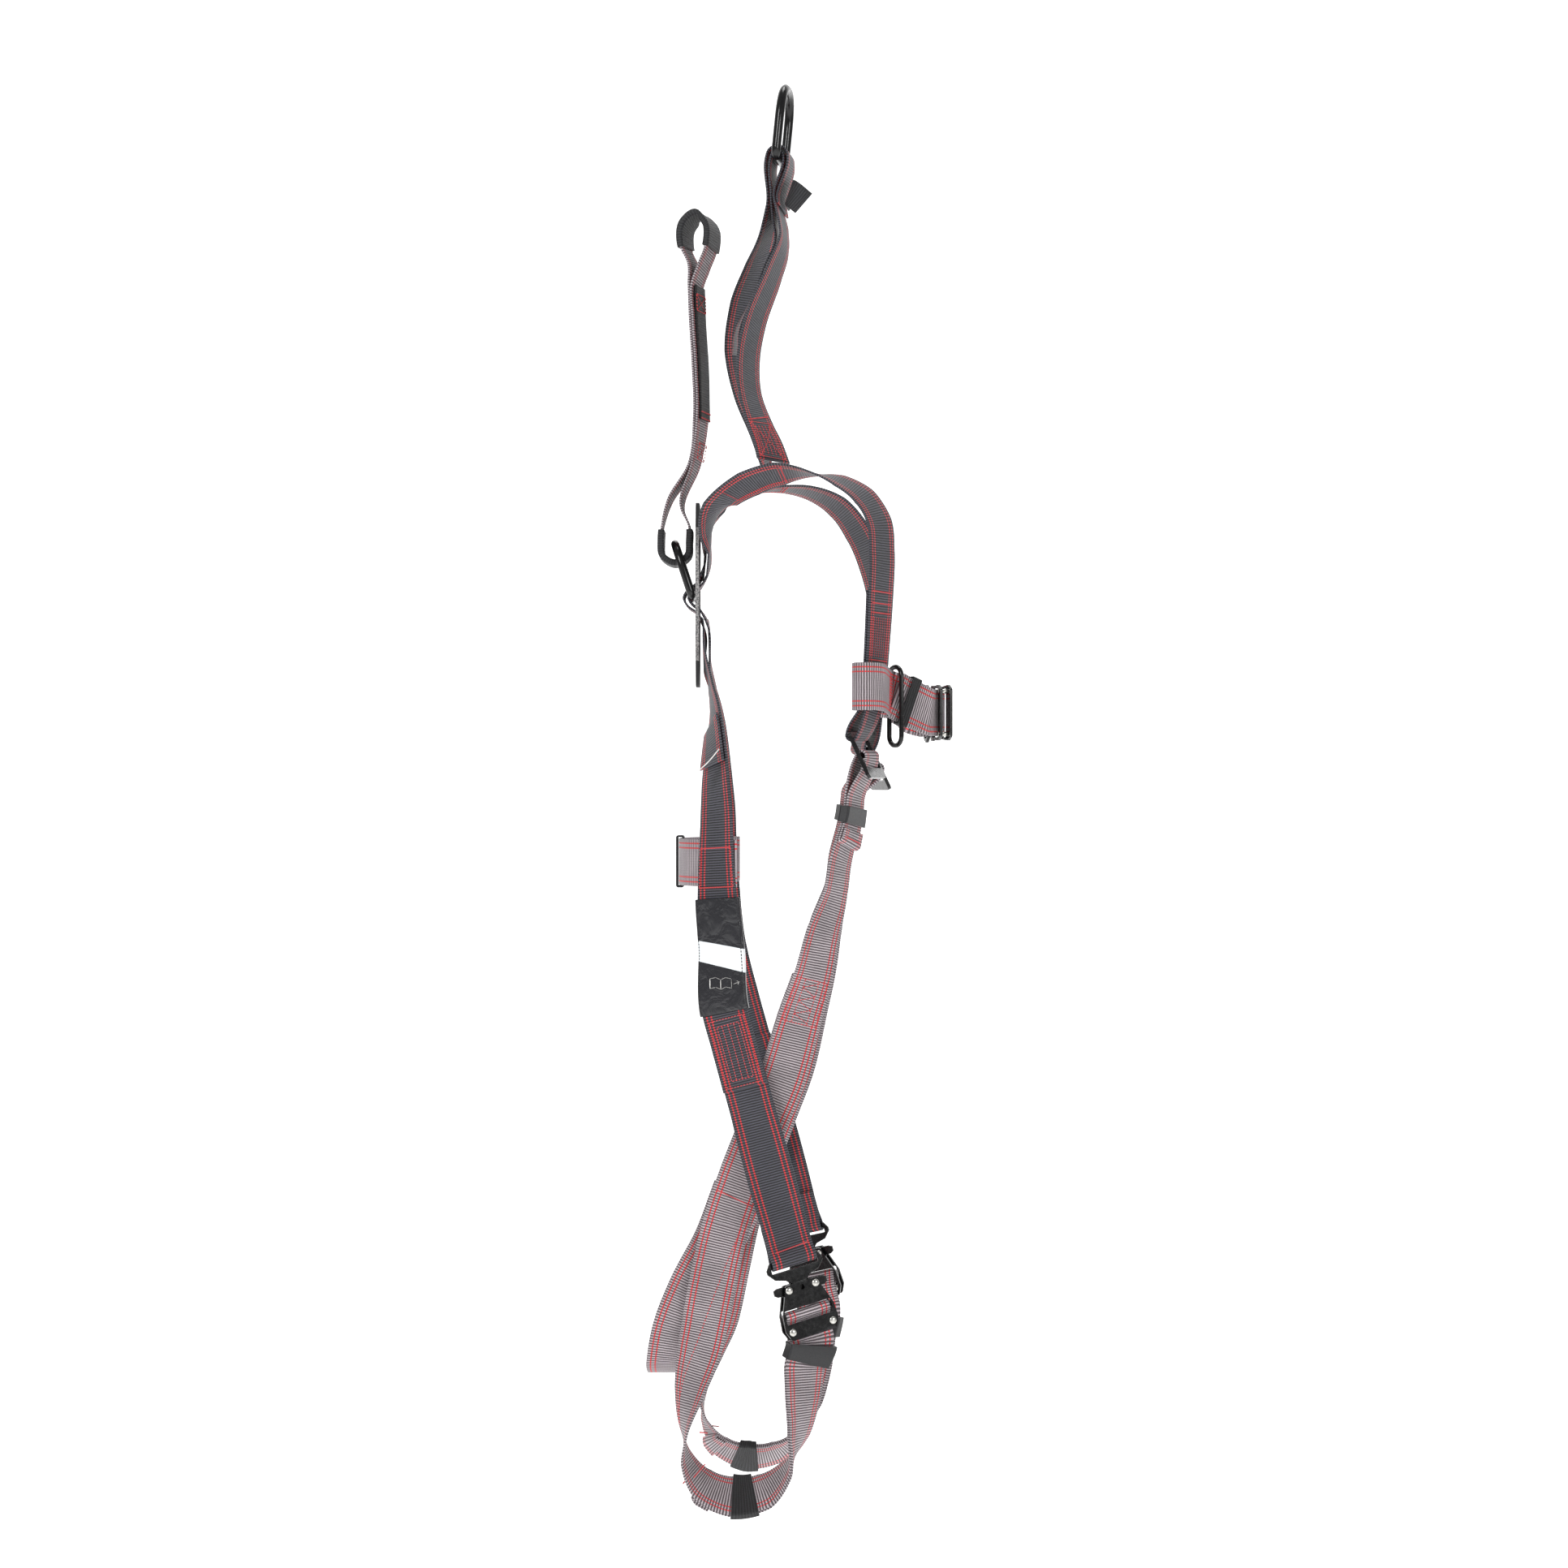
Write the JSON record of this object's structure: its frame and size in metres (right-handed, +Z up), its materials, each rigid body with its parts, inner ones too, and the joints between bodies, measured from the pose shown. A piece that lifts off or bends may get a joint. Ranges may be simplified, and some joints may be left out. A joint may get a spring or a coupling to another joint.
{
  "type": "full body safety harness",
  "caption": "Full body fall arrest harness of webbing with lifting straps, dorsal plate and ring, chest strap, thigh loops and quick-release buckles, hanging from its lifting ring.",
  "frame": {"origin": "inside top of the lifting ring, where a hook holds the harness", "axes": "+X towards the wearer's front, -Y towards the wearer's right side, +Z up"},
  "size_m": [0.2953, 0.2508, 1.3715],
  "materials": {
    "dark_webbing": "woven polyester webbing, charcoal, with two pairs of red warp stripes",
    "grey_webbing": "woven polyester webbing, light grey over dark, with two pairs of red warp stripes",
    "black_webbing": "black polyester tape, tubular sleeve and hook-and-loop",
    "black_steel": "glossy black coated forged and pressed steel, nickel-plated rivets",
    "black_plastic": "moulded black plastic",
    "grey_plastic": "moulded grey plastic",
    "label_vinyl": "glossy vinyl sleeve with a white band"
  },
  "bodies": {
    "harness": {"adjuster_left": "black_steel", "adjuster_right": "black_steel", "buckle_keeper_left": "black_plastic", "buckle_keeper_right": "black_plastic", "chest_buckle_back_plate": "black_steel", "chest_buckle_front_plate": "black_steel", "chest_buckle_tongue": "black_steel", "chest_elastic": "black_webbing", "chest_strap_left": "grey_webbing", "chest_strap_right": "grey_webbing", "dorsal_plate": "grey_plastic", "front_keeper_left": "black_plastic", "front_keeper_right": "black_plastic", "front_strap_left": "grey_webbing", "front_strap_right": "grey_webbing", "indicator_tag_left": "dark_webbing", "indicator_tag_right": "dark_webbing", "label_sleeve": "label_vinyl", "leg_buckle_left_back_plate": "black_steel", "leg_buckle_left_front_plate": "black_steel", "leg_buckle_right_back_plate": "black_steel", "leg_buckle_right_front_plate": "black_steel", "leg_strap_left": "grey_webbing", "leg_strap_right": "grey_webbing", "lifting_ring": "black_steel", "lifting_strap_left": "dark_webbing", "lifting_strap_right": "dark_webbing", "lower_back_strap": "grey_webbing", "seat_strap": "grey_webbing", "shoulder_strap_left": "dark_webbing", "shoulder_strap_right": "dark_webbing", "stow_tab": "black_webbing", "thigh_keeper_left": "black_webbing", "thigh_keeper_right": "black_webbing", "warning_flag_left": "label_vinyl", "warning_flag_right": "label_vinyl"},
    "right_leg_tongue": {"leg_buckle_right_tongue": "black_steel", "hip_strap_right": "dark_webbing"},
    "right_leg_lever_a": {"leg_buckle_right_lever_a": "black_steel"},
    "right_leg_lever_b": {"leg_buckle_right_lever_b": "black_steel"},
    "left_leg_tongue": {"leg_buckle_left_tongue": "black_steel", "hip_strap_left": "dark_webbing"},
    "left_leg_lever_a": {"leg_buckle_left_lever_a": "black_steel"},
    "left_leg_lever_b": {"leg_buckle_left_lever_b": "black_steel"},
    "chest_lever_a": {"chest_buckle_lever_a": "black_steel"},
    "chest_lever_b": {"chest_buckle_lever_b": "black_steel"},
    "dorsal_ring": {"dorsal_ring": "black_steel"},
    "extension": {"extension_strap": "grey_webbing", "extension_sleeve_lower": "black_webbing", "extension_sleeve_upper": "black_webbing", "extension_patch": "black_webbing"},
    "chest_ring": {"chest_ring": "black_steel"},
    "back_keeper": {"back_keeper": "black_plastic"}
  },
  "joints": [
    {"name": "right_leg_tongue_slide", "type": "slide", "parent": "harness", "child": "right_leg_tongue", "axis": [-0.2619, 0.028, 0.9647], "range_m": [0, 0.02]},
    {"name": "right_leg_lever_a_pivot", "type": "hinge", "parent": "harness", "child": "right_leg_lever_a", "pos_m": [0.02771, -0.105, -1.14039], "axis": [0.312, -0.9434, 0.1121], "range_deg": [0, 25]},
    {"name": "right_leg_lever_b_pivot", "type": "hinge", "parent": "harness", "child": "right_leg_lever_b", "pos_m": [0.00286, -0.11399, -1.14688], "axis": [-0.312, 0.9434, -0.1121], "range_deg": [0, 25]},
    {"name": "left_leg_tongue_slide", "type": "slide", "parent": "harness", "child": "left_leg_tongue", "axis": [-0.2619, -0.028, 0.9647], "range_m": [0, 0.02]},
    {"name": "left_leg_lever_a_pivot", "type": "hinge", "parent": "harness", "child": "left_leg_lever_a", "pos_m": [0.01187, 0.11399, -1.14488], "axis": [0.312, 0.9434, 0.1121], "range_deg": [0, 25]},
    {"name": "left_leg_lever_b_pivot", "type": "hinge", "parent": "harness", "child": "left_leg_lever_b", "pos_m": [0.03671, 0.105, -1.13839], "axis": [-0.312, -0.9434, -0.1121], "range_deg": [0, 25]},
    {"name": "chest_lever_a_pivot", "type": "hinge", "parent": "harness", "child": "chest_lever_a", "pos_m": [0.14564, 0.01747, -0.6146], "axis": [0.9703, 0.2419, 0], "range_deg": [0, 24], "stiffness_Nm_per_rad": 0.5},
    {"name": "chest_lever_b_pivot", "type": "hinge", "parent": "harness", "child": "chest_lever_b", "pos_m": [0.14564, 0.01747, -0.5874], "axis": [-0.9703, -0.2419, 0], "range_deg": [0, 24], "stiffness_Nm_per_rad": 0.5},
    {"name": "dorsal_ring_hinge", "type": "hinge", "parent": "harness", "child": "dorsal_ring", "pos_m": [-0.0885, 0, -0.49], "axis": [0, -1, 0], "range_deg": [-2, 95]},
    {"name": "extension_hinge", "type": "hinge", "parent": "dorsal_ring", "child": "extension", "pos_m": [-0.1058, 0, -0.43674], "axis": [0, -1, 0], "range_deg": [-3, 38]},
    {"name": "chest_ring_slide", "type": "slide", "parent": "harness", "child": "chest_ring", "axis": [0.7682, 0.5121, -0.3841], "range_m": [-0.001, 0.005]},
    {"name": "back_keeper_slide", "type": "slide", "parent": "harness", "child": "back_keeper", "axis": [0, 1, 0], "range_m": [-0.006, 0.006]}
  ],
  "couplings": [
    {"joint": "right_leg_lever_a_pivot", "follows": "right_leg_tongue_slide", "rad_per_m": 20.9},
    {"joint": "right_leg_lever_b_pivot", "follows": "right_leg_tongue_slide", "rad_per_m": 20.9},
    {"joint": "left_leg_lever_a_pivot", "follows": "left_leg_tongue_slide", "rad_per_m": 20.9},
    {"joint": "left_leg_lever_b_pivot", "follows": "left_leg_tongue_slide", "rad_per_m": 20.9}
  ]
}
